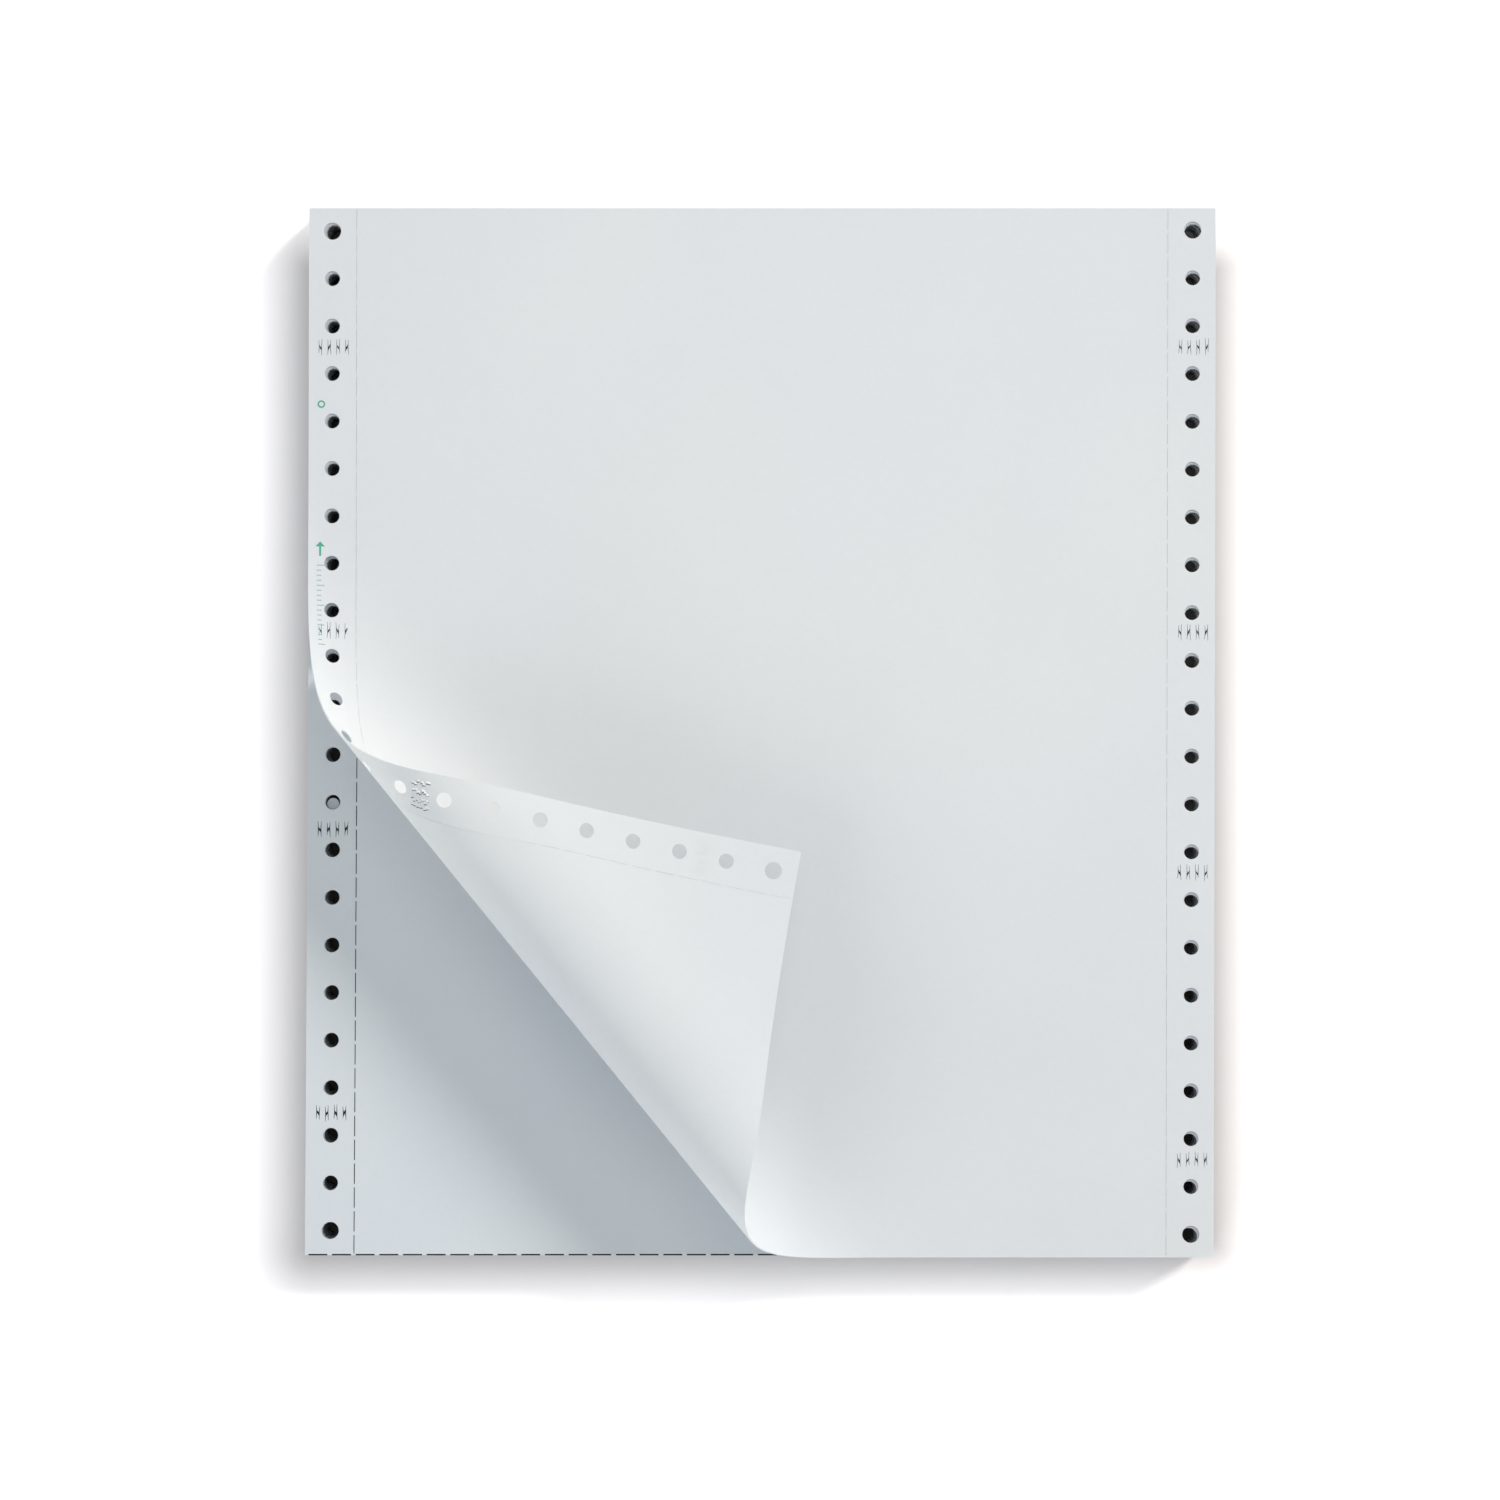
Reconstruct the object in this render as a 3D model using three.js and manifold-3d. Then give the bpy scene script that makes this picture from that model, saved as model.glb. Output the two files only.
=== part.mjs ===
// Fanfold continuous form paper: a folded pack of forms with feed holes down both sides.
// One corner of the top form has been lifted and rolled back over the pack.
// Millimetres. +X is to the right, +Y is to the rear fold of the top form, +Z is up.
import * as THREE from 'three';
import { mergeVertices } from 'three/addons/utils/BufferGeometryUtils.js';
import Module from 'manifold-3d';

// The forms and the pack they make
const FORM_WIDTH = 241.3;
const FORM_DEPTH = 279.4;
const FORM_THICKNESS = 0.3;
const FORM_COUNT = 50;
const FRONT_SETBACK = 0.7;
const EDGE_GROOVE = 0.1;
const FOLD_STEPS = 4;

// Feed holes, one row down each side
const HOLE_PITCH = 12.7;
const HOLE_INSET = 6.35;
const HOLE_DIAMETER = 4;
const END_HOLE_DIAMETER = 4.6;
const HOLE_SIDES = 12;
const HOLE_DRIFT = 0.4;

// Perforations that let the feed strips be torn off
const STRIP_WIDTH = 12.7;
const CUT_TIE = 0.95;
const CUT_WIDTH = 0.3;

// The lifted corner rolls along straight lines that all meet at one point, like a cone.
// That point is stated from the corner where it lay flat, and the lines by their bearings from +Y.
const APEX_RIGHT_OF_CORNER = 796.5;
const APEX_BEYOND_CORNER = 829.7;
const ROLL_START_DEG = 36.92;
const ROLL_END_DEG = 41.64;
const ROLL_TURN_DEG = 212.3;
const ROLL_SKEW_RATIO = 1.357;
const ROLL_STEPS = 26;

// Past the roll the corner straightens a little towards its tip.
const TAIL_START_DEG = 40.93;
const TAIL_END_DEG = 44.24;
const TAIL_TURN_DEG = -26;
const TAIL_STEPS = 4;

// Sizes that follow from the ones above
const HALF_WIDTH = FORM_WIDTH / 2;
const HALF_DEPTH = FORM_DEPTH / 2;
const PACK_HEIGHT = FORM_COUNT * FORM_THICKNESS;
const TOP_FORM_BASE = PACK_HEIGHT - FORM_THICKNESS;
const PACK_FRONT = -HALF_DEPTH + FRONT_SETBACK;
const HOLES_A_SIDE = Math.floor(FORM_DEPTH / HOLE_PITCH + 0.01);
const FIRST_HOLE_Y = ((HOLES_A_SIDE - 1) * HOLE_PITCH) / 2;
const CUT_LENGTH = HOLE_PITCH / 2 - CUT_TIE;
const CELL_WIDTH = STRIP_WIDTH + HOLE_INSET / 2;
const DEG = Math.PI / 180;

const wasm = await Module();
wasm.setup();

// A closed body from a list of corner points and a list of triangles
function bodyFrom(points, triangles) {
  const raw = new THREE.BufferGeometry();
  raw.setAttribute('position', new THREE.Float32BufferAttribute(points.flat(), 3));
  raw.setIndex(triangles.flat());
  return bodyOf(raw);
}

function bodyOf(geometry) {
  const clean = geometry.clone();
  clean.deleteAttribute('normal');
  clean.deleteAttribute('uv');
  const merged = mergeVertices(clean, 1e-5);
  const mesh = new wasm.Mesh({
    numProp: 3,
    vertProperties: new Float32Array(merged.attributes.position.array),
    triVerts: new Uint32Array(merged.index.array),
  });
  return new wasm.Manifold(mesh);
}

function geometryOf(body) {
  const mesh = body.getMesh();
  const geometry = new THREE.BufferGeometry();
  geometry.setAttribute('position', new THREE.BufferAttribute(new Float32Array(mesh.vertProperties), 3));
  geometry.setIndex(new THREE.BufferAttribute(new Uint32Array(mesh.triVerts), 1));
  return geometry;
}

// Points of the folded edge that joins two neighbouring forms, from the lower form to the upper one
function foldPoints(edgeY, middleZ, outward) {
  const points = [];
  for (let i = 0; i <= FOLD_STEPS; i += 1) {
    const angle = (i / FOLD_STEPS - 0.5) * Math.PI;
    const reach = FORM_THICKNESS * (Math.cos(angle) - 1);
    points.push([edgeY + outward * reach, middleZ + FORM_THICKNESS * Math.sin(angle)]);
  }
  return points;
}

// Side view of the pack: forms 1 and 2 are joined at the rear, 2 and 3 at the front, and so on down.
function packSideView() {
  const rear = [];
  for (let form = FORM_COUNT; form >= 2; form -= 2) {
    rear.push(...foldPoints(HALF_DEPTH, PACK_HEIGHT - (form - 1) * FORM_THICKNESS, 1));
  }
  const front = [];
  for (let form = FORM_COUNT - 1; form >= 3; form -= 2) {
    front.push(...foldPoints(PACK_FRONT, PACK_HEIGHT - (form - 1) * FORM_THICKNESS, -1));
  }
  const shape = new THREE.Shape();
  shape.moveTo(PACK_FRONT, 0);
  rear.forEach(([y, z]) => shape.lineTo(y, z));
  shape.lineTo(HALF_DEPTH - HOLE_INSET / 2, PACK_HEIGHT);
  shape.lineTo(HALF_DEPTH - HOLE_INSET / 2, TOP_FORM_BASE);
  front.reverse().forEach(([y, z]) => shape.lineTo(y, z));
  shape.lineTo(PACK_FRONT, FORM_THICKNESS);
  return shape;
}

// Front view of the pack: a fine groove marks the edge between one form and the next.
function packFrontView() {
  const shape = new THREE.Shape();
  const right = [];
  for (let form = 0; form < FORM_COUNT; form += 1) {
    if (form > 0) {
      right.push([HALF_WIDTH - EDGE_GROOVE, form * FORM_THICKNESS]);
    }
    right.push([HALF_WIDTH, (form + 0.5) * FORM_THICKNESS]);
  }
  shape.moveTo(HALF_WIDTH - EDGE_GROOVE, 0);
  right.forEach(([x, z]) => shape.lineTo(x, z));
  shape.lineTo(HALF_WIDTH - EDGE_GROOVE, PACK_HEIGHT);
  shape.lineTo(-HALF_WIDTH + EDGE_GROOVE, PACK_HEIGHT);
  right.reverse().forEach(([x, z]) => shape.lineTo(-x, z));
  shape.lineTo(-HALF_WIDTH + EDGE_GROOVE, 0);
  return shape;
}

function holeRadius(row) {
  const isEnd = row === 0 || row === HOLES_A_SIDE - 1;
  return (isEnd ? END_HOLE_DIAMETER : HOLE_DIAMETER) / 2;
}

function holeCentre(side, row) {
  return [side * (HALF_WIDTH - HOLE_INSET), FIRST_HOLE_Y - row * HOLE_PITCH];
}

function holeOutline(side, row) {
  const [x, y] = holeCentre(side, row);
  const points = [];
  for (let i = 0; i < HOLE_SIDES; i += 1) {
    const angle = ((i + 0.5) / HOLE_SIDES) * 2 * Math.PI;
    points.push([x + holeRadius(row) * Math.cos(angle), y + holeRadius(row) * Math.sin(angle)]);
  }
  return points;
}

function rectangle(xa, ya, xb, yb) {
  const [left, right] = [Math.min(xa, xb), Math.max(xa, xb)];
  return [[left, ya], [right, ya], [right, yb], [left, yb]];
}

// Two cuts of the perforation stand beside each feed hole, one on each side of its centre line.
function cutOutline(side, row, half) {
  const x = side * (HALF_WIDTH - STRIP_WIDTH);
  const y = holeCentre(side, row)[1] + (half * HOLE_PITCH) / 4;
  return rectangle(x - CUT_WIDTH / 2, y - CUT_LENGTH / 2, x + CUT_WIDTH / 2, y + CUT_LENGTH / 2);
}

function prism(outline, base, top) {
  const shape = new THREE.Shape(outline.map(([x, y]) => new THREE.Vector2(x, y)));
  const geometry = new THREE.ExtrudeGeometry(shape, { depth: top - base, bevelEnabled: false });
  geometry.translate(0, 0, base);
  return bodyOf(geometry);
}

// Roll lines stand closest together where the sheet bends most, and all turn it by the same angle.
function rollLines() {
  const rolled = Array.from({ length: ROLL_STEPS }, (_, i) => {
    const share = Math.acos(1 - (2 * (i + 0.5)) / ROLL_STEPS) / Math.PI;
    const bearing = ROLL_START_DEG + (ROLL_END_DEG - ROLL_START_DEG) * share ** (1 / ROLL_SKEW_RATIO);
    return { bearing, turn: ROLL_TURN_DEG / ROLL_STEPS };
  });
  const tail = Array.from({ length: TAIL_STEPS }, (_, i) => {
    const bearing = TAIL_START_DEG + ((TAIL_END_DEG - TAIL_START_DEG) * (i + 0.5)) / TAIL_STEPS;
    return { bearing, turn: TAIL_TURN_DEG / TAIL_STEPS };
  });
  const apex = new THREE.Vector3(APEX_RIGHT_OF_CORNER - HALF_WIDTH, -APEX_BEYOND_CORNER - HALF_DEPTH, 0);
  return [...rolled, ...tail].sort((a, b) => a.bearing - b.bearing).map(({ bearing, turn }) => {
    const along = new THREE.Vector3(-Math.sin(bearing * DEG), Math.cos(bearing * DEG), 0);
    return { apex, along, turn: turn * DEG };
  });
}

// How far a flat point lies past a roll line, on the side of the lifted corner
function pastLine(point, line) {
  return -line.along.y * (point[0] - line.apex.x) + line.along.x * (point[1] - line.apex.y);
}

function splitAtLine(polygons, line) {
  const result = [];
  for (const polygon of polygons) {
    const far = polygon.map((point) => pastLine(point, line));
    if (Math.max(...far) < 1e-6 || Math.min(...far) > -1e-6) {
      result.push(polygon);
      continue;
    }
    const past = [];
    const before = [];
    polygon.forEach((point, i) => {
      const next = (i + 1) % polygon.length;
      if (far[i] > -1e-6) past.push(point);
      if (far[i] < 1e-6) before.push(point);
      if (Math.abs(far[i]) > 1e-6 && Math.abs(far[next]) > 1e-6 && far[i] * far[next] < 0) {
        const share = far[i] / (far[i] - far[next]);
        const cut = [
          point[0] + share * (polygon[next][0] - point[0]),
          point[1] + share * (polygon[next][1] - point[1]),
        ];
        past.push(cut);
        before.push(cut);
      }
    });
    result.push(past, before);
  }
  return result;
}

// Where the flat strips between the roll lines come to lie
function rolledFrames(lines) {
  const frames = [new THREE.Matrix4()];
  for (const line of lines) {
    const last = frames[frames.length - 1];
    const centre = line.apex.clone().applyMatrix4(last);
    const axis = line.along.clone().transformDirection(last);
    const turn = new THREE.Matrix4().makeTranslation(centre)
      .multiply(new THREE.Matrix4().makeRotationAxis(axis, line.turn))
      .multiply(new THREE.Matrix4().makeTranslation(centre.negate()));
    frames.push(turn.multiply(last));
  }
  return frames;
}

// The flat top form in plain pieces: a cell for each feed hole down both sides, and the sheet between them
function topFormCells() {
  const cells = [];
  const inner = HALF_WIDTH - CELL_WIDTH;
  const levels = [HALF_DEPTH - FORM_THICKNESS];
  for (let row = 1; row < HOLES_A_SIDE; row += 1) {
    levels.push(FIRST_HOLE_Y - (row - 0.5) * HOLE_PITCH);
  }
  levels.push(-HALF_DEPTH);
  for (const side of [-1, 1]) {
    for (let row = 0; row < HOLES_A_SIDE; row += 1) {
      cells.push({
        outline: rectangle(side * inner, levels[row + 1], side * HALF_WIDTH, levels[row]),
        openings: [holeOutline(side, row), cutOutline(side, row, 1), cutOutline(side, row, -1)],
      });
    }
  }
  const leftSide = levels.map((y) => [-inner, y]);
  const rightSide = levels.map((y) => [inner, y]).reverse();
  cells.push({ outline: [...leftSide, ...rightSide], openings: [] });
  return cells;
}

function triangulated({ outline, openings }) {
  const asVectors = (points) => points.map(([x, y]) => new THREE.Vector2(x, y));
  const holes = openings.map((points) => asVectors(points).reverse());
  const corners = [asVectors(outline), ...holes].flat().map((point) => [point.x, point.y]);
  const faces = THREE.ShapeUtils.triangulateShape(asVectors(outline), holes);
  return faces.map((face) => face.map((i) => corners[i]));
}

function topForm() {
  const lines = rollLines();
  let polygons = topFormCells().map(triangulated).flat();
  lines.forEach((line) => {
    polygons = splitAtLine(polygons, line);
  });
  return thickened(polygons, lines, rolledFrames(lines));
}

function thickened(polygons, lines, frames) {
  const lookup = new Map();
  const flatPoints = [];
  const indexOf = (point) => {
    const key = `${Math.round(point[0] * 1e4)},${Math.round(point[1] * 1e4)}`;
    if (!lookup.has(key)) {
      lookup.set(key, flatPoints.length);
      flatPoints.push(point);
    }
    return lookup.get(key);
  };
  const faces = [];
  for (const polygon of polygons) {
    const ring = polygon.map(indexOf).filter((v, i, all) => v !== all[(i + 1) % all.length]);
    for (let i = 1; i + 1 < ring.length; i += 1) {
      faces.push([ring[0], ring[i], ring[i + 1]]);
    }
  }
  const points = [];
  const lift = [];
  for (const point of flatPoints) {
    const reached = lines.filter((line) => pastLine(point, line) > -1e-6).length;
    const passed = lines.filter((line) => pastLine(point, line) > 1e-6).length;
    const place = new THREE.Vector3(point[0], point[1], TOP_FORM_BASE);
    const normal = new THREE.Vector3(0, 0, 1).transformDirection(frames[reached])
      .add(new THREE.Vector3(0, 0, 1).transformDirection(frames[passed])).normalize();
    const base = new THREE.Vector3(place.x, place.y, 0).applyMatrix4(frames[passed]);
    base.z += TOP_FORM_BASE;
    points.push(base.toArray());
    lift.push(base.clone().addScaledVector(normal, FORM_THICKNESS).toArray());
  }
  const count = points.length;
  const triangles = [];
  const rim = new Map();
  for (const [a, b, c] of faces) {
    triangles.push([c, b, a], [a + count, b + count, c + count]);
    for (const [from, to] of [[a, b], [b, c], [c, a]]) {
      if (!rim.delete(`${to},${from}`)) {
        rim.set(`${from},${to}`, [from, to]);
      }
    }
  }
  for (const [from, to] of rim.values()) {
    triangles.push([from, to, to + count], [from, to + count, from + count]);
  }
  return bodyFrom([...points, ...lift], triangles);
}

// The pack under the top form
function packBelow() {
  const side = new THREE.ExtrudeGeometry(packSideView(), { depth: FORM_WIDTH, bevelEnabled: false });
  side.applyMatrix4(new THREE.Matrix4().makeBasis(
    new THREE.Vector3(0, 1, 0),
    new THREE.Vector3(0, 0, 1),
    new THREE.Vector3(1, 0, 0),
  ));
  side.translate(-HALF_WIDTH, 0, 0);
  const front = new THREE.ExtrudeGeometry(packFrontView(), { depth: FORM_DEPTH, bevelEnabled: false });
  front.rotateX(Math.PI / 2);
  front.translate(0, HALF_DEPTH, 0);
  let pack = bodyOf(side).intersect(bodyOf(front));
  for (const edge of [-1, 1]) {
    for (let row = 0; row < HOLES_A_SIDE; row += 1) {
      const bore = prism(holeOutline(edge, row), -FORM_THICKNESS, PACK_HEIGHT + FORM_THICKNESS);
      pack = pack.subtract(bore.translate([HOLE_DRIFT, -HOLE_DRIFT, 0]));
    }
  }
  return pack;
}

const paper = new THREE.MeshStandardMaterial({ color: '#e6e8e9', roughness: 0.85, metalness: 0 });
const pack = new THREE.Mesh(geometryOf(packBelow().add(topForm())), paper);
pack.name = 'form_pack';

const group = new THREE.Group();
group.name = 'fanfold_form_paper';
group.add(pack);

export default group;
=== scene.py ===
"""Looks of the fanfold continuous form paper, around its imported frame.

Shapes are worked out in millimetres, and mesh_object turns them into metres.
The camera, the lights and the ground are in metres.
"""
import math

import bpy
import numpy as np
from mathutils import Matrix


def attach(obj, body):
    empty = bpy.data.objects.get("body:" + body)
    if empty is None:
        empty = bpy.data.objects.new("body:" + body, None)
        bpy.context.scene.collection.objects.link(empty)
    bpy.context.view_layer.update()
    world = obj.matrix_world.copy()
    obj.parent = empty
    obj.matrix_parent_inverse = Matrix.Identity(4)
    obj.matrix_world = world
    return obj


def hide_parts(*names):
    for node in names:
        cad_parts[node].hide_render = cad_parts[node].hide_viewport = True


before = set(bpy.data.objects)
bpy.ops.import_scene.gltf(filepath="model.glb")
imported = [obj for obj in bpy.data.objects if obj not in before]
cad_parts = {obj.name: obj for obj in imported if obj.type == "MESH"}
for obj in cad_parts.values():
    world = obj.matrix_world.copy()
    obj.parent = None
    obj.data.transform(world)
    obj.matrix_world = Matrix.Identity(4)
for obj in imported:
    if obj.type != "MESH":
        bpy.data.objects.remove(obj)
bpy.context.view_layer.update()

MM = 0.001
RNG = np.random.default_rng(11)

# The forms
FORM_WIDTH = 241.3
FORM_DEPTH = 279.4
FORM_THICKNESS = 0.3
FORM_COUNT = 50
HALF_W = FORM_WIDTH / 2
HALF_D = FORM_DEPTH / 2
TOP_Z = FORM_COUNT * FORM_THICKNESS
FOLD_R = FORM_THICKNESS

# The leaves under the top form: a hair of air between them, and front folds set back from its edge
LEAF_GAP = 0.02
LEAF = FORM_THICKNESS - LEAF_GAP
SETBACK = 0.45
FRONT = -HALF_D + SETBACK

# Feed holes, larger beside the folds, and perforation cuts between them and the form's middle
PITCH = 12.7
ROWS = 22
HOLE_X = HALF_W - PITCH / 2
HOLE_R = 2.0
END_HOLE_R = 2.3
CUT_X = HALF_W - PITCH
CUT_LONG = 5.4
TOP_CUT_WIDTH = 0.07
SECOND_CUT_WIDTH = 0.24
# from this row on, the left strip of the second form lies uncovered
OPEN_ROW = 10

# A hole lies in a square of grid lines, this far to each side. The lines fall on the cuts' ends too.
BOX = PITCH / 4
BOX_LINES = (-BOX, -BOX + CUT_LONG / 4, -BOX + CUT_LONG / 2, BOX - CUT_LONG / 2, BOX - CUT_LONG / 4, BOX)
CUT_LINES = [BOX + k * CUT_LONG / 4 for k in range(-2, 3)]
LEAST_CELL = 0.2
# places that differ by less than this are the same
NEAR = 0.005

# The rolled corner: the sheet is bent along straight lines that meet at the apex.
# Bearings are seen from the apex, and go from the rear towards the left.
APEX = np.array([796.5 - HALF_W, -829.7 - HALF_D])
ROLL_START, ROLL_END = math.radians(36.92), math.radians(41.64)
ROLL_TURN = math.radians(212.3)
ROLL_SKEW = 1.357
TAIL_START, TAIL_END = math.radians(40.93), math.radians(44.24)
TAIL_TURN = math.radians(-26)
ROLL_LAST = TAIL_END + math.radians(0.2)
ROLL_STEPS = 220

# The top form's faint swells: middle, reach to the side and in depth, and height.
# They die out towards its rear fold and its sides.
SWELLS = (
    (-28, 8, 34, 26, 0.55),
    (42, -40, 26, 60, 0.5),
    (10, 95, 60, 22, 0.25),
    (85, 60, 22, 50, 0.2),
    (70, -110, 30, 18, 0.3),
)
REAR_FADE = 20
SIDE_FADE = 12

# The pack stands a little out of square: it leans to the side by this much per millimetre of depth.
# The forms under the top one lean more in front of the line LEAN_FROM.
PACK_LEAN = 0.002
FRONT_LEAN = 0.004
LEAN_FROM = 10.0

# The left strip's holes and cuts lie further in on those forms. This shift grows from nothing at the edge
# over STRIP_EDGE, and dies out over STRIP_FADE before the middle.
LEFT_STRIP_IN = 0.33
STRIP_EDGE = 3
STRIP_FADE = 60

# The leaves wander from one to the next, and their folds stand back unevenly
DRIFT_SPREAD = (0.09, 0.05)
DRIFT_KEPT = 0.85
DRIFT_LEAST = (-0.2, -0.2)
DRIFT_MOST = (0.2, 0.15)
JOG_SPREAD = 0.12
JOG_MOST = 0.2

# The photograph's view: straight down, from this far above the top form
CAMERA_UP = 1.0
VIEW_WIDTH = 0.39925
VIEW_CENTRE = (-0.00303, -0.00466)

# The white ground: its tone at the pack's foot, a painted shadow that adds to the pack's cast shadow, and
# its tone clear of it, its tone in the light that it throws back, and how far the painted shadow is seen.
# SHADOW_FOOT is half the size of the foot that it starts from, and SHADOW_OFF moves that foot's middle to
# the origin.
GROUND_PAINTED_SHADOW = (0.665, 0.632, 0.621, 1)
GROUND_FAR = (1.75, 1.68, 1.66, 1)
GROUND_UNSEEN = (0.8, 0.8, 0.8, 1)
SHADOW_REACH = 0.018
SHADOW_FOOT = (HALF_W * MM + 0.0008, 0.1315, 1.0)
SHADOW_OFF = (-0.0008, 0.0068, 0)
GROUND_HALF = 3
GROUND_DROP = 0.0001


def srgb(r, g, b):
    out = []
    for v in (r, g, b):
        v /= 255
        out.append(v / 12.92 if v <= 0.04045 else ((v + 0.055) / 1.055) ** 2.4)
    return (*out, 1.0)


# Flat outlines


def circle(cx, cy, r, n, start=0.0):
    """This many points round a circle, from the angle start on."""
    turns = [start + 2 * math.pi * i / n for i in range(n)]
    return [(cx + r * math.cos(a), cy + r * math.sin(a)) for a in turns]


def oblong(cx, cy, half_x, half_y):
    """A rectangle's corners, from its middle and half its sides."""
    corners = ((-1, -1), (1, -1), (1, 1), (-1, 1))
    return [(cx + i * half_x, cy + j * half_y) for i, j in corners]


def stroke(start, end, start_width, end_width):
    """A tapering stroke between two flat points."""
    a, b = np.array(start), np.array(end)
    d = b - a
    side = np.array([-d[1], d[0]]) / np.hypot(*d) / 2
    right = [tuple(a - side * start_width), tuple(b - side * end_width)]
    return right + [tuple(b + side * end_width), tuple(a + side * start_width)]


# Sheets: a flat web of cells, given a place and a thickness


class Web:
    """A flat sheet as points and faces. Points are kept once, by their flat place.
    rims lists the faces that show as the rim of a hole in the sheet above. On the second form they take a
    painted shade."""

    KEYS_PER_MM = 1e4

    def __init__(self):
        self.index = {}
        self.points = []
        self.faces = []
        self.rims = []

    def at(self, x, y):
        key = (round(x * self.KEYS_PER_MM), round(y * self.KEYS_PER_MM))
        if key not in self.index:
            self.index[key] = len(self.points)
            self.points.append((x, y))
        return self.index[key]

    def face(self, *corners):
        self.faces.append([self.at(*corner) for corner in corners])

    def grid(self, xs, ys):
        for x0, x1 in zip(xs[:-1], xs[1:]):
            for y0, y1 in zip(ys[:-1], ys[1:]):
                self.face((x0, y0), (x1, y0), (x1, y1), (x0, y1))


def hole_ring(cx, cy, r, xs, ys):
    """The points round a box of grid lines, and the points of the hole that belong to them."""
    box = [(x, ys[0]) for x in xs[:-1]] + [(xs[-1], y) for y in ys[:-1]]
    box += [(x, ys[-1]) for x in xs[:0:-1]] + [(xs[0], y) for y in ys[:0:-1]]
    start = math.atan2(box[0][1] - cy, box[0][0] - cx)
    return box, circle(cx, cy, r, len(box), start)


def form_web(top_y, bottom_y, column, cut_width, shift_of):
    """A form with its feed holes and perforation cuts. column is the width of the middle's columns.
    shift_of gives how far a hole lies from its even place, and its radius, by side and row."""
    web = Web()
    cut_in, cut_out = CUT_X - cut_width / 2, CUT_X + cut_width / 2
    lines = [k * PITCH / 2 + line for k in range(-ROWS, ROWS) for line in CUT_LINES]
    lines = [y for y in lines if bottom_y + LEAST_CELL < y < top_y - LEAST_CELL]
    ys = [bottom_y] + lines + [top_y]
    web.grid(np.linspace(-cut_in, cut_in, max(2, round(2 * CUT_X / column) + 1)), ys)
    for side in (-1, 1):
        bx = [side * HOLE_X + line for line in BOX_LINES]
        box_out, box_in = (bx[0], bx[-1]) if side < 0 else (bx[-1], bx[0])
        web.grid(sorted([side * HALF_W, box_out]), ys)
        web.grid(sorted([box_in, side * cut_out]), ys)
        for y0, y1 in zip(ys[:-1], ys[1:]):
            along = (y0 + y1) / 2 % (PITCH / 2)
            if abs(along - BOX) > CUT_LONG / 2:
                web.grid(sorted([side * cut_out, side * cut_in]), [y0, y1])
        for row in range(ROWS):
            cy = HALF_D - PITCH / 2 - row * PITCH
            by = [cy + line for line in BOX_LINES]
            dx, dy, r = shift_of(side, row)
            box, hole = hole_ring(side * HOLE_X + dx, cy + dy, r, bx, by)
            for i in range(len(box)):
                j = (i + 1) % len(box)
                web.face(box[i], box[j], hole[j], hole[i])
                # these ring faces lie under the top form's holes, and on the second form take a painted
                # shade
                if side > 0 or row < OPEN_ROW:
                    web.rims.append(len(web.faces) - 1)
            if row > 0:
                web.grid(bx, [y for y in ys if cy + BOX - NEAR < y < cy + PITCH - BOX + NEAR])
        last_box = HALF_D - PITCH / 2 + BOX - NEAR
        web.grid(bx, [y for y in ys if y > last_box])
        web.grid(bx, [y for y in ys if y < -last_box])
    return web


# Which of a form's materials a face takes: its own paper, a painted shade on the walls inside the sheet for
# the dark of its holes and cuts, and a painted shade on the faces round a hole seen through the sheet above
FACE, BORE_SHADE, RIM_SHADE = 0, 1, 2


def thick(web, place, thickness):
    """The points and faces of a closed sheet, and which material each face takes.
    place gives each flat point its spot on the underside and its normal."""
    flat = np.array(web.points)
    under, normal = place(flat)
    over = under + normal * thickness
    n = len(flat)
    # a dictionary, so that the walls keep their order
    edges = {}
    for ring in web.faces:
        for edge in zip(ring, ring[1:] + ring[:1]):
            edges[edge] = True
    walls = [(a, b) for a, b in edges if (b, a) not in edges]
    faces = [[i + n for i in ring] for ring in web.faces]
    faces += [ring[::-1] for ring in web.faces]
    faces += [[a, b, b + n, a + n] for a, b in walls]
    inside = ((flat > flat.min(0) + NEAR) & (flat < flat.max(0) - NEAR)).all(1)
    rims = set(web.rims)
    kinds = [RIM_SHADE if i in rims else FACE for i in range(len(web.faces))]
    kinds += [FACE] * len(web.faces)
    # walls inside the sheet take the painted shade of the holes and cuts
    kinds += [BORE_SHADE if inside[a] and inside[b] else FACE for a, b in walls]
    return np.vstack([under, over]), faces, kinds


def turned(bearing):
    """How far the sheet has turned over by this bearing: the roll, and the tail that opens out again."""
    roll = np.clip((bearing - ROLL_START) / (ROLL_END - ROLL_START), 0, 1)
    tail = np.clip((bearing - TAIL_START) / (TAIL_END - TAIL_START), 0, 1)
    return ROLL_TURN * (1 - np.cos(np.pi * roll**ROLL_SKEW)) / 2 + TAIL_TURN * tail


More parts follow.
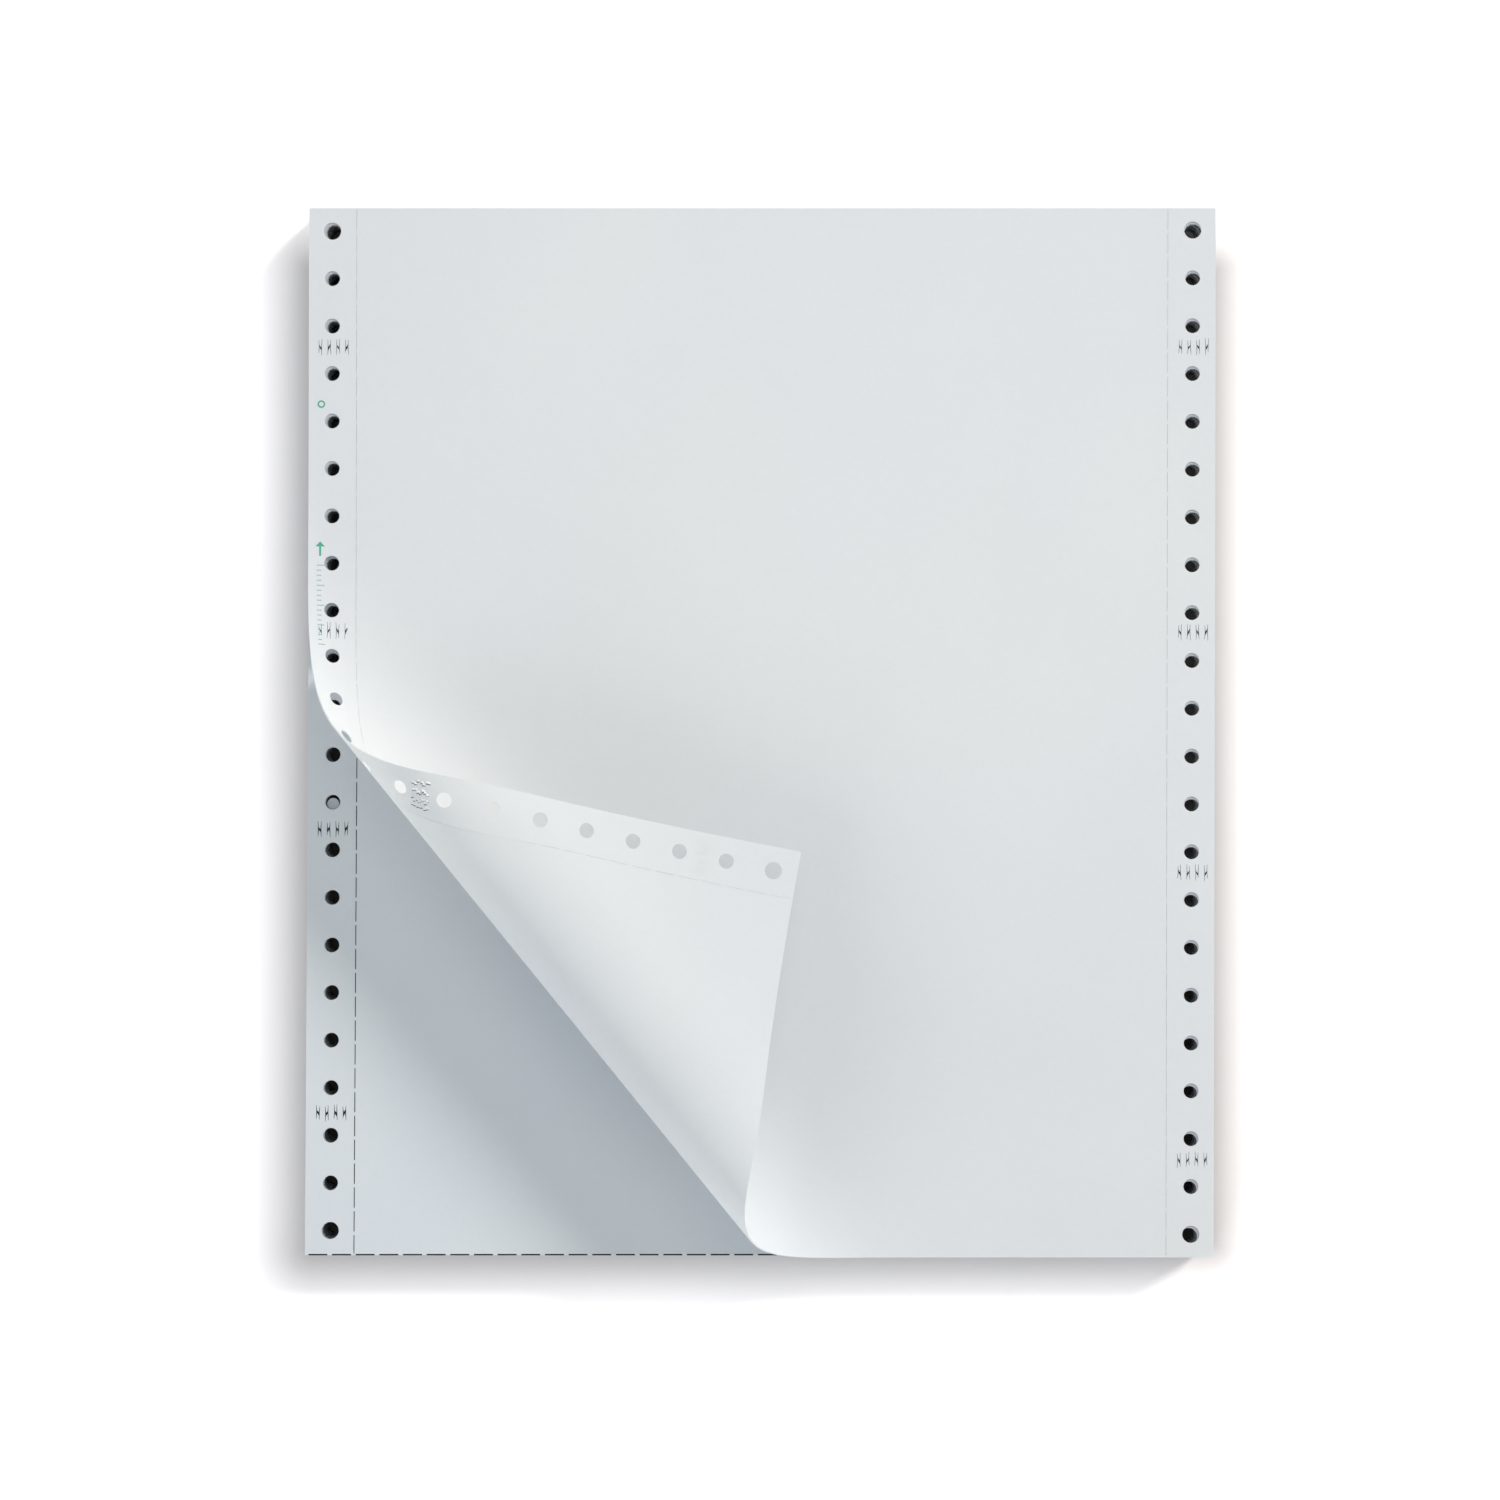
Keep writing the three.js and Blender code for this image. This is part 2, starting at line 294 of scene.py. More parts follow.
def roll_place(flat):
    """Where the points of a level sheet lie once its corner is rolled back, and their normals."""
    span = ROLL_LAST - ROLL_START
    edges = ROLL_START + span * np.arange(ROLL_STEPS + 1) / ROLL_STEPS
    bearings = ROLL_START + span * (np.arange(ROLL_STEPS) + 0.5) / ROLL_STEPS
    apex = np.array([*APEX, 0.0])
    rots = [np.eye(3)]
    moves = [np.zeros(3)]
    for bearing, turn in zip(bearings, np.diff(turned(edges))):
        rot, move = rots[-1], moves[-1]
        axis = rot @ np.array([-math.sin(bearing), math.cos(bearing), 0.0])
        spot = rot @ apex + move
        cross = np.array([[0, -axis[2], axis[1]], [axis[2], 0, -axis[0]], [-axis[1], axis[0], 0]])
        bend = np.eye(3) + math.sin(turn) * cross + (1 - math.cos(turn)) * cross @ cross
        rots.append(bend @ rot)
        moves.append(bend @ (move - spot) + spot)
    rots, moves = np.array(rots), np.array(moves)
    away = flat - APEX
    index = np.searchsorted(bearings, np.arctan2(-away[:, 0], away[:, 1]))
    level = np.concatenate([flat, np.zeros((len(flat), 1))], 1)
    out = np.einsum("nij,nj->ni", rots[index], level) + moves[index]
    return out, rots[index][:, :, 2]


def soft_waves(x, y):
    """The faint, wide unevenness of the top form."""
    z = 0.0 * x
    for cx, cy, reach_x, reach_y, height in SWELLS:
        z = z + height * np.exp(-(((x - cx) / reach_x) ** 2) - ((y - cy) / reach_y) ** 2)
    rear = np.clip((HALF_D - y) / REAR_FADE, 0, 1)
    return z * rear * np.clip((HALF_W - np.abs(x)) / SIDE_FADE, 0, 1)


def top_place(flat):
    """The place of the top form, rolled and faintly uneven."""
    out, normal = roll_place(flat)
    out = out + normal * soft_waves(flat[:, 0], flat[:, 1])[:, None]
    out[:, 2] += TOP_Z - FORM_THICKNESS
    return out, normal


def front_lean(y):
    """How far a form under the top one lies to the side here."""
    return -FRONT_LEAN * np.maximum(0.0, LEAN_FROM - y)


def flat_place(base, drift=(0.0, 0.0)):
    """The place of a level form with its underside at this height."""

    def place(flat):
        out = np.concatenate([flat, np.full((len(flat), 1), base)], 1)
        x, y = flat[:, 0], flat[:, 1]
        strip = np.clip((x + HALF_W) / STRIP_EDGE, 0, 1) * np.clip(-x / STRIP_FADE, 0, 1)
        out[:, 0] += drift[0] + LEFT_STRIP_IN * strip + front_lean(y)
        out[:, 1] += drift[1]
        return out, np.tile([0.0, 0.0, 1.0], (len(flat), 1))

    return place


second_place = flat_place(TOP_Z - 2 * FORM_THICKNESS)

# Meshes and pieces


def prism_faces(first, n):
    """A closed plate's faces. Its lower ring of n points starts at first, and its upper ring follows."""
    faces = [[first + n + i for i in range(n)], [first + i for i in reversed(range(n))]]
    for i in range(n):
        j = (i + 1) % n
        faces.append([first + i, first + j, first + n + j, first + n + i])
    return faces


def mesh_object(name, points, faces, smooth_angle=None):
    mesh = bpy.data.meshes.new(name)
    spots = np.array(points, float)
    spots[:, 0] += PACK_LEAN * spots[:, 1]
    mesh.from_pydata((spots * MM).tolist(), [], faces)
    mesh.validate()
    mesh.update()
    if smooth_angle is not None:
        mesh.polygons.foreach_set("use_smooth", [True] * len(mesh.polygons))
        mesh.set_sharp_from_angle(angle=math.radians(smooth_angle))
    ob = bpy.data.objects.new(name, mesh)
    bpy.context.scene.collection.objects.link(ob)
    return ob


def piece(ob, *materials):
    for m in materials:
        ob.data.materials.append(m)
    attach(ob, "root")
    return ob


def plates(name, outlines, place, base, height, material):
    """Thin closed plates of these flat outlines, lying on a form from base to base plus height."""
    points, faces = [], []
    for outline in outlines:
        spot, normal = place(np.array(outline, float))
        faces += prism_faces(len(points), len(outline))
        points += (spot + normal * base).tolist()
        points += (spot + normal * (base + height)).tolist()
    return piece(mesh_object(name, points, faces), material)


# Materials


def noise(nt, coord, scale, detail):
    node = nt.nodes.new("ShaderNodeTexNoise")
    node.inputs["Scale"].default_value = scale
    node.inputs["Detail"].default_value = detail
    nt.links.new(coord, node.inputs["Vector"])
    return node.outputs["Fac"]


def mapped(nt, value, low, high, to_low, to_high):
    """A value spread from one range to another, and kept inside it."""
    node = nt.nodes.new("ShaderNodeMapRange")
    node.inputs["From Min"].default_value = low
    node.inputs["From Max"].default_value = high
    node.inputs["To Min"].default_value = to_low
    node.inputs["To Max"].default_value = to_high
    nt.links.new(value, node.inputs["Value"])
    return node.outputs["Result"]


def seen_rays(nt):
    """1 for the rays that show the background: to the camera, in a gloss and through glass."""
    path = nt.nodes.new("ShaderNodeLightPath")
    seen = path.outputs["Is Camera Ray"]
    for kind in ("Is Glossy Ray", "Is Transmission Ray"):
        most = nt.nodes.new("ShaderNodeMath")
        most.operation = "MAXIMUM"
        nt.links.new(seen, most.inputs[0])
        nt.links.new(path.outputs[kind], most.inputs[1])
        seen = most.outputs[0]
    return seen


# The numbers of a Mix node's colour sockets, since the sockets of its other kinds share their names
MIX_FACTOR, MIX_FIRST, MIX_SECOND, MIX_RESULT = 0, 6, 7, 2


def blend(nt, kind, factor, first, second):
    """Two colours mixed. Each is a colour or a socket, and so is the factor."""
    node = nt.nodes.new("ShaderNodeMix")
    node.data_type = "RGBA"
    node.blend_type = kind
    for socket, value in ((MIX_FACTOR, factor), (MIX_FIRST, first), (MIX_SECOND, second)):
        if isinstance(value, bpy.types.NodeSocket):
            nt.links.new(value, node.inputs[socket])
        else:
            node.inputs[socket].default_value = value
    return node.outputs[MIX_RESULT]


def mixed_shader(nt, factor, first, second):
    """Two shaders mixed. The factor is a number or a socket."""
    mix = nt.nodes.new("ShaderNodeMixShader")
    if isinstance(factor, bpy.types.NodeSocket):
        nt.links.new(factor, mix.inputs["Fac"])
    else:
        mix.inputs["Fac"].default_value = factor
    nt.links.new(first, mix.inputs[1])
    nt.links.new(second, mix.inputs[2])
    return mix.outputs[0]


# Uncoated paper, with noise scales per metre: fibres, faint wide clouds and a cooler tint here and there
FIBRES = 900
CLOUDS = 22
TINTS = 7
COOLER = (0.975, 0.985, 1.01)
FIBRE_RELIEF = 0.00003
FIBRE_STRENGTH = 0.12
ROUGHNESS = 0.75
SHEEN = 0.15
# how far over the pack the sheet begins to stand clear of it, and where it fully does
CLEAR_FROM = 1
CLEAR_AT = 12


def paper_material(name, colour, through=0.0, lifted=None):
    """Paper with fibres in colour and relief, and a little light coming through.
    lifted is the share that comes through where the sheet stands clear of the pack."""
    mat = bpy.data.materials.new(name)
    mat.use_nodes = True
    nt = mat.node_tree
    nt.nodes.clear()
    out = nt.nodes.new("ShaderNodeOutputMaterial")
    place = nt.nodes.new("ShaderNodeTexCoord").outputs["Object"]
    fibre = noise(nt, place, FIBRES, 5)
    grain = mapped(nt, fibre, 0.3, 0.7, 0.985, 1.0)
    cloud = mapped(nt, noise(nt, place, CLOUDS, 3), 0.35, 0.65, 0.988, 1.0)
    cool = tuple(c * k for c, k in zip(colour, COOLER)) + (1.0,)
    tone = blend(nt, "MIX", mapped(nt, noise(nt, place, TINTS, 2), 0.38, 0.62, 0.0, 1.0), colour, cool)
    tone = blend(nt, "MULTIPLY", 1.0, tone, grain)
    tone = blend(nt, "MULTIPLY", 1.0, tone, cloud)
    bump = nt.nodes.new("ShaderNodeBump")
    bump.inputs["Strength"].default_value = FIBRE_STRENGTH
    bump.inputs["Distance"].default_value = FIBRE_RELIEF
    nt.links.new(fibre, bump.inputs["Height"])
    surface = nt.nodes.new("ShaderNodeBsdfPrincipled")
    surface.inputs["Roughness"].default_value = ROUGHNESS
    surface.inputs["Specular IOR Level"].default_value = SHEEN
    nt.links.new(tone, surface.inputs["Base Color"])
    nt.links.new(bump.outputs["Normal"], surface.inputs["Normal"])
    shader = surface.outputs[0]
    if through > 0:
        glow = nt.nodes.new("ShaderNodeBsdfTranslucent")
        nt.links.new(tone, glow.inputs["Color"])
        share = through
        if lifted is not None:
            axes = nt.nodes.new("ShaderNodeSeparateXYZ")
            nt.links.new(place, axes.inputs[0])
            low, high = (TOP_Z + CLEAR_FROM) * MM, (TOP_Z + CLEAR_AT) * MM
            share = mapped(nt, axes.outputs["Z"], low, high, through, lifted)
        shader = mixed_shader(nt, share, shader, glow.outputs[0])
    nt.links.new(shader, out.inputs["Surface"])
    return mat


paper_top = paper_material("paper_top_form", srgb(236, 238, 238), through=0.16, lifted=0.31)
paper_second = paper_material("paper_second_form", srgb(227, 232, 235), through=0.12)
paper_pack = paper_material("paper_lower_forms", srgb(226, 230, 231))
# a painted shade: near-black paper for the walls inside the forms' holes and cuts, and for dark plates in
# cuts
bore_and_cut_shade = paper_material("paper_painted_bore_shade", srgb(22, 25, 30))
# a painted shade: dark plates for the shade inside the crimps' slits and tears
slit_shade_paper = paper_material("paper_painted_slit_shade", srgb(98, 102, 108))
# a painted shade: darker plates for the pushed-in tongues, and for the second form's slits and tongues
crimp_shade_paper = paper_material("paper_painted_crimp_shade", srgb(50, 54, 60))
# a painted shade on the second form's paper round the holes seen through the top form
rim_shade_paper = paper_material("paper_painted_rim_shade", srgb(186, 190, 194))
# a painted shade: a chad greyer than the paper it was punched from
chad_shade_paper = paper_material("paper_painted_chad_shade", srgb(188, 192, 197))
# a painted highlight: burrs whiter than the paper round them
burr_highlight_paper = paper_material("paper_painted_burr_highlight", srgb(252, 252, 252), through=0.1)
green_dark = paper_material("press_green", srgb(92, 172, 144))
green_pale = paper_material("press_green_pale", srgb(140, 192, 172))

# The top form

# the middle is bent, so it has narrow columns
TOP_COLUMN = 2.7
TOP_SMOOTH = 40


def hole_size(row):
    return END_HOLE_R if row in (0, ROWS - 1) else HOLE_R


def top_shift(side, row):
    """How far a hole of the top form lies off its even place, to the right and the rear, and its radius."""
    if side < 0:
        bow = 0.5 * math.sin(math.pi * row / (ROWS - 1))
        return -0.1, 0.1 + bow, hole_size(row)
    return 0.25, 0.4 - 0.03 * row, hole_size(row)


top_web = form_web(HALF_D - FOLD_R, -HALF_D, TOP_COLUMN, TOP_CUT_WIDTH, top_shift)
points, faces, _ = thick(top_web, top_place, FORM_THICKNESS)
top_form = piece(mesh_object("top_form", points, faces, TOP_SMOOTH), paper_top)
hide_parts("form_pack")

# The forms under it

SECOND_COLUMN = 30.0
LOWER_HOLE_SIDES = 12
LOWER_HOLE_MORE = 0.1
COVERED_HOLE_LESS = 0.2
FURTHEST_FORWARD = -0.8


def low_shift(side, row):
    """The same for the forms below. They lie a little off the top form, so that a crescent of paper
    shows in each hole."""
    if side > 0:
        return 0.25, max(-0.27 - 0.031 * row, FURTHEST_FORWARD), hole_size(row)
    if row < OPEN_ROW:
        return -0.026 * row, -0.33 + 0.078 * row, hole_size(row) - COVERED_HOLE_LESS
    return 0.0, 0.15 + 0.03 * row, hole_size(row)


def coarse_web(top_y, bottom_y):
    """A lower form: feed holes of few sides, no cuts."""
    web = Web()
    inner = HOLE_X - BOX
    corner = -math.pi * 0.75
    per_side = LOWER_HOLE_SIDES // 4
    levels = [top_y] + [HALF_D - row * PITCH for row in range(1, ROWS)] + [bottom_y]
    for top, bottom in zip(levels[:-1], levels[1:]):
        web.face((-inner, bottom), (inner, bottom), (inner, top), (-inner, top))
    for side in (-1, 1):
        left, right = sorted([side * HALF_W, side * inner])
        for row in range(ROWS):
            top, bottom = levels[row], levels[row + 1]
            dx, dy, r = low_shift(side, row)
            cx, cy = side * HOLE_X + dx, HALF_D - PITCH / 2 - row * PITCH + dy
            hole = circle(cx, cy, r + LOWER_HOLE_MORE, LOWER_HOLE_SIDES, corner)
            box = [(left, bottom), (right, bottom), (right, top), (left, top)]
            for q in range(4):
                arc = [hole[(per_side * q + i) % LOWER_HOLE_SIDES] for i in range(per_side + 1)]
                web.face(box[q], box[(q + 1) % 4], *arc[::-1])
    return web


# how far each form, from the first, lies to the right and the rear
drifts = [(0.0, 0.0), (0.0, 0.0), (0.1, -0.15)]
for form in range(4, FORM_COUNT + 1):
    step = np.array([RNG.normal(0, spread) for spread in DRIFT_SPREAD])
    drift = np.array(drifts[-1]) * DRIFT_KEPT + step
    drifts.append(tuple(np.clip(drift, DRIFT_LEAST, DRIFT_MOST)))

second_web = form_web(HALF_D - FOLD_R, FRONT + FOLD_R, SECOND_COLUMN, SECOND_CUT_WIDTH, low_shift)
points, faces, kinds = thick(second_web, second_place, LEAF)
second_form = piece(mesh_object("second_form", points, faces), paper_second, bore_and_cut_shade, rim_shade_paper)
second_form.data.polygons.foreach_set("material_index", kinds)

lower_web = coarse_web(HALF_D - FOLD_R, FRONT + FOLD_R)
points, faces, kinds = [], [], []
for form in range(3, FORM_COUNT + 1):
    place = flat_place(TOP_Z - form * FORM_THICKNESS, drifts[form - 1])
    leaf_points, leaf_faces, leaf_kinds = thick(lower_web, place, LEAF)
    faces += [[i + len(points) for i in ring] for ring in leaf_faces]
    points += leaf_points.tolist()
    kinds += leaf_kinds
lower_forms = piece(mesh_object("lower_forms", points, faces), paper_pack, bore_and_cut_shade)
lower_forms.data.polygons.foreach_set("material_index", kinds)

# Folds

FOLD_LAP = 0.2
FOLD_STEPS = 6
FOLD_SMOOTH = 50


def fold_points(edge, outward, middle, x0, x1):
    """A folded edge: a half-round nose two forms high. outward is 1 at the rear and -1 at the front."""
    half = FOLD_R - LEAF_GAP / 2
    root = edge - outward * (FOLD_R + FOLD_LAP)
    ring = []
    for i in range(FOLD_STEPS + 1):
        a = (i / FOLD_STEPS - 0.5) * math.pi
        ring.append((edge + outward * FOLD_R * (math.cos(a) - 1), middle + half * math.sin(a)))
    ring += [(root, middle + half), (root, middle - half)]
    return [(x, y, z) for x in (x0, x1) for y, z in ring]


points, faces = [], []
for form in range(1, FORM_COUNT):
    middle = TOP_Z - form * FORM_THICKNESS
    dx = drifts[form - 1][0]
    jog = 0.0
    if form > 2:
        jog = float(np.clip(RNG.normal(0, JOG_SPREAD), -JOG_MOST, 0.0))
    if form % 2:
        fold = fold_points(HALF_D + jog, 1, middle, -HALF_W + dx, HALF_W + dx)
    else:
        dx += float(front_lean(FRONT))
        fold = fold_points(FRONT - jog, -1, middle, -HALF_W + dx, HALF_W + dx)
    rings = prism_faces(len(points), len(fold) // 2)
    faces += rings if form % 2 else [ring[::-1] for ring in rings]
    points += fold
piece(mesh_object("folded_edges", points, faces, FOLD_SMOOTH), paper_pack)

# Crimps that hold the plies together: rows of them down both strips

CRIMPS = 4
CRIMP_STEP = 2.35
CRIMP_COLUMNS = (-114.05, 114.85)
CRIMP_ROWS = (102.6, 26.7, -37.4, -113.8)
SECOND_CRIMP_COLUMN = -114.2
SECOND_CRIMP_ROWS = (-25.7, -101.3)
SECOND_CRIMP_BOLD = 1.5
# a slit runs up and down from its waist, where it is thickest
SLIT_UP, SLIT_DOWN = 2.4, 2.3
SLIT_OUT, WAIST_OUT = 0.4, 0.3
SLIT_THIN, SLIT_THICK = 0.08, 0.16
TONGUE_THICK = 0.3
# the marks are sunk this deep in the paper
MARK_SUNK = 0.005


def crimp_places(cx, mirror=1):
    return [cx + mirror * (k - (CRIMPS - 1) / 2) * CRIMP_STEP for k in range(CRIMPS)]


def crimp_slits(cx, cy, mirror=1, bold=1.0):
    """Crimp marks side by side: two slits each, and between them the tongue that is pushed through. All are
    dark plates of painted shade, for the shade inside the slits and on the pushed-in tongue.
    """
    slits, tongues = [], []
    for k, x in enumerate(crimp_places(cx, mirror)):
        pinch = cy - 0.1 + RNG.uniform(-0.15, 0.15)
        for s in (-1, 1):
            wide = SLIT_OUT + RNG.uniform(-0.05, 0.05)
            lean = RNG.uniform(-0.08, 0.08)
            top = cy + SLIT_UP - RNG.uniform(0, 0.7)
            low = cy - SLIT_DOWN + RNG.uniform(0, 0.9)
            waist = (x + s * WAIST_OUT, pinch)
            slits.append(stroke((x + s * wide + lean, top), waist, SLIT_THIN, SLIT_THICK * bold))
            slits.append(stroke(waist, (x + s * wide - lean, low), SLIT_THICK * bold, SLIT_THIN))
        reach = RNG.uniform(0.55, 0.95)
        turn = mirror if k % 2 else -mirror
        root, tip = (x + turn * 0.36, pinch + reach), (x - turn * 0.3, pinch - 0.2)
        tongues.append(stroke(root, tip, 0.16, TONGUE_THICK * bold))
        root, tip = (x - turn * 0.3, pinch - reach * 0.9), (x + turn * 0.1, pinch + 0.25)
        tongues.append(stroke(root, tip, 0.14, TONGUE_THICK * bold))
    return slits, tongues


slits, tongues = [], []
for cy in CRIMP_ROWS:
    for cx in CRIMP_COLUMNS:
        row_slits, row_tongues = crimp_slits(cx, cy)
        slits += row_slits
        tongues += row_tongues
base = FORM_THICKNESS - MARK_SUNK
plates("crimp_slits_top", slits, top_place, base, height=0.02, material=slit_shade_paper)
plates("crimp_tongues_top", tongues, top_place, base, height=0.03, material=crimp_shade_paper)

# The back of the crimps, pushed up out of the rolled part: small ragged burrs, coloured whiter than the
# paper as a painted highlight, and the slits beside them as dark plates of painted shade

ROLLED_ROW = CRIMP_ROWS[2]
BURRS = 7
BURR_STEP = 0.75
BURR_HALF = 0.25
BURR_LONG = 0.6

points, faces, tears = [], [], []
for x in crimp_places(CRIMP_COLUMNS[0]):
    for j in range(BURRS):
        y = ROLLED_ROW + (j - (BURRS - 1) / 2) * BURR_STEP + RNG.uniform(-0.25, 0.25)
        at = x + RNG.uniform(-0.5, 0.5)
        half_long = BURR_LONG * RNG.uniform(0.5, 1.0)
        high = RNG.uniform(0.25, 0.5)
        lean = RNG.uniform(-0.8, 0.8)
        tear_end = (at + 0.55 + RNG.uniform(-0.3, 0.3), y + 0.4)
        tears.append(stroke((at + 0.35, y - 0.5), tear_end, 0.12, 0.3))
        spot, normal = top_place(np.array(oblong(at, y, BURR_HALF, half_long)))
        tip = spot.mean(0) - normal.mean(0) * high + (spot[1] - spot[0]) * lean
        k = len(points)
        points += (spot + normal * 0.02).tolist() + [tip.tolist()]
        faces.append([k, k + 1, k + 2, k + 3])
        for i in range(4):
            faces.append([k + (i + 1) % 4, k + i, k + 4])
piece(mesh_object("crimp_burrs", points, faces), burr_highlight_paper)
plates("crimp_tears", tears, top_place, base=-0.012, height=0.02, material=slit_shade_paper)

slits, tongues = [], []
for cy in SECOND_CRIMP_ROWS:
    row_slits, row_tongues = crimp_slits(SECOND_CRIMP_COLUMN, cy, -1, SECOND_CRIMP_BOLD)
    slits += row_slits
    tongues += row_tongues
base = LEAF - MARK_SUNK
plates("crimp_slits_second", slits, second_place, base, height=0.012, material=crimp_shade_paper)
plates("crimp_tongues_second", tongues, second_place, base, height=0.02, material=crimp_shade_paper)

# Under the second form's cuts lie the third form's, shown as thin dark plates of painted shade

THIRD_CUT_HALF = (0.13, CUT_LONG / 2 - 0.02)

cut_shade_plates = []
for side in (-1, 1):
    for k in range(2 * ROWS):
        cut_shade_plates.append(oblong(side * CUT_X, HALF_D - BOX - k * PITCH / 2, *THIRD_CUT_HALF))
plates("third_form_painted_cut_shade", cut_shade_plates, second_place, base=-0.018, height=0.014, material=bore_and_cut_shade)

# Cuts of the cross perforation along the front fold of the second form, shown as dark blocks of painted
# shade

CROSS_CUTS = 38
CROSS_FIRST = 0.9
CROSS_STEP = 6.3
CROSS_LONG = 5.05
CROSS_END = HALF_W - 0.6
CROSS_FRONT, CROSS_REAR = FRONT + 0.04, FRONT + 0.42
CROSS_LOW, CROSS_HIGH = TOP_Z - FORM_THICKNESS - 0.2, TOP_Z - FORM_THICKNESS + 0.02
CROSS_SLOPE = 0.05

points, faces = [], []
for k in range(CROSS_CUTS):
    x0 = -HALF_W + float(front_lean(FRONT)) + CROSS_FIRST + k * CROSS_STEP
    x1 = min(x0 + CROSS_LONG, CROSS_END)
    faces += prism_faces(len(points), 4)
    for front_z, rear_z in ((CROSS_LOW, CROSS_LOW), (CROSS_HIGH - CROSS_SLOPE, CROSS_HIGH)):
        points += [(x0, CROSS_FRONT, front_z), (x1, CROSS_FRONT, front_z)]
        points += [(x1, CROSS_REAR, rear_z), (x0, CROSS_REAR, rear_z)]
piece(mesh_object("cross_cut_painted_shade", points, faces), bore_and_cut_shade)

# A chad that stayed in one hole of the second form, lying deep in the hole and coloured greyer than the
# paper as painted shade

CHAD_ROW = 12
CHAD_OFF = (0.1, -0.5)
CHAD_R = 1.62

chad_y = HALF_D - PITCH / 2 - CHAD_ROW * PITCH + low_shift(-1, CHAD_ROW)[1] + CHAD_OFF[1]
disc = circle(-HOLE_X + CHAD_OFF[0], chad_y, CHAD_R, 24)
plates("chad", [disc], second_place, base=-0.35, height=0.1, material=chad_shade_paper)

# Green press marks on the left strip: a ring, an arrow and ticks

INK_HEIGHT = 0.03
RING_AT = (-117.3, 87.4)
RING_OUT, RING_IN = 1.02, 0.62
RING_SIDES = 20
ARROW_SHAFT = (-117.5, 48.2, 0.25, 1.3)
ARROW_HEAD = [(-118.75, 49.45), (-116.25, 49.45), (-117.5, 50.8)]
TICKS = 17
TICK_LEFT, TICK_FIRST = -118.4, 44.4
TICK_STEP = 1.36
TICK_HALF = 0.11
LONG_TICK, SHORT_TICK = 1.0, 0.62
LONG_TICK_EVERY = 4

ring = circle(*RING_AT, RING_OUT, RING_SIDES) + circle(*RING_AT, RING_IN, RING_SIDES)
spot, normal = top_place(np.array(ring))
points = np.vstack([spot + normal * FORM_THICKNESS, spot + normal * (FORM_THICKNESS + INK_HEIGHT)])
inner, upper = RING_SIDES, 2 * RING_SIDES
faces = []
for i in range(RING_SIDES):
    j = (i + 1) % RING_SIDES
    faces.append([upper + i, upper + j, upper + inner + j, upper + inner + i])
    faces.append([j, i, inner + i, inner + j])
    faces.append([i, j, upper + j, upper + i])
    faces.append([inner + j, inner + i, upper + inner + i, upper + inner + j])
piece(mesh_object("press_dot", points, faces), green_dark)

arrow = [oblong(*ARROW_SHAFT), ARROW_HEAD]
plates("press_arrow", arrow, top_place, FORM_THICKNESS, INK_HEIGHT, green_dark)

ticks = []
for i in range(TICKS):
    half = LONG_TICK if i % LONG_TICK_EVERY == 0 else SHORT_TICK
    ticks.append(oblong(TICK_LEFT + half, TICK_FIRST - TICK_STEP * i, half, TICK_HALF))
plates("press_ticks", ticks, top_place, FORM_THICKNESS, INK_HEIGHT, green_pale)

# Camera and lights

cam = bpy.data.cameras.new("camera")
cam.sensor_fit = "HORIZONTAL"
cam.angle = 2 * math.atan(VIEW_WIDTH / 2 / CAMERA_UP)
cam_ob = bpy.data.objects.new("camera", cam)
cam_ob.location = (VIEW_CENTRE[0], VIEW_CENTRE[1], CAMERA_UP + TOP_Z * MM)
bpy.context.scene.collection.objects.link(cam_ob)
bpy.context.scene.camera = cam_ob


def light(name, kind, energy, colour):
    lamp = bpy.data.lights.new(name, kind)
    lamp.energy = energy
    lamp.color = colour
    ob = bpy.data.objects.new(name, lamp)
    bpy.context.scene.collection.objects.link(ob)
    return lamp, ob


def sunlight(name, energy, colour, width, azimuth, elevation):
    """A sun of this width, all angles in degrees. The azimuth goes from the right to the rear."""
    lamp, ob = light(name, "SUN", energy, colour)
    lamp.angle = math.radians(width)
    ob.rotation_euler = (math.radians(90 - elevation), 0, math.radians(azimuth + 90))


sunlight("key", 2.1, (1.0, 0.965, 0.92), width=15, azimuth=39, elevation=31)
sunlight("fill", 1.4, (0.94, 0.97, 1.0), width=60, azimuth=215, elevation=15)

# a soft window over the rear right makes the top form's wide, faint gradient
window, window_ob = light("window", "AREA", 0.17, (0.97, 1.0, 1.0))
window.size = 0.2
window_ob.location = (0.06, 0.07, 0.33)

# Surroundings: a cool, even light, seen as white

SKY_COLOUR = (0.935, 0.97, 1.0, 1)
SKY_STRENGTH = 0.465


def background(nt, colour, strength):
    node = nt.nodes.new("ShaderNodeBackground")
    node.inputs["Color"].default_value = colour
    node.inputs["Strength"].default_value = strength
    return node.outputs[0]


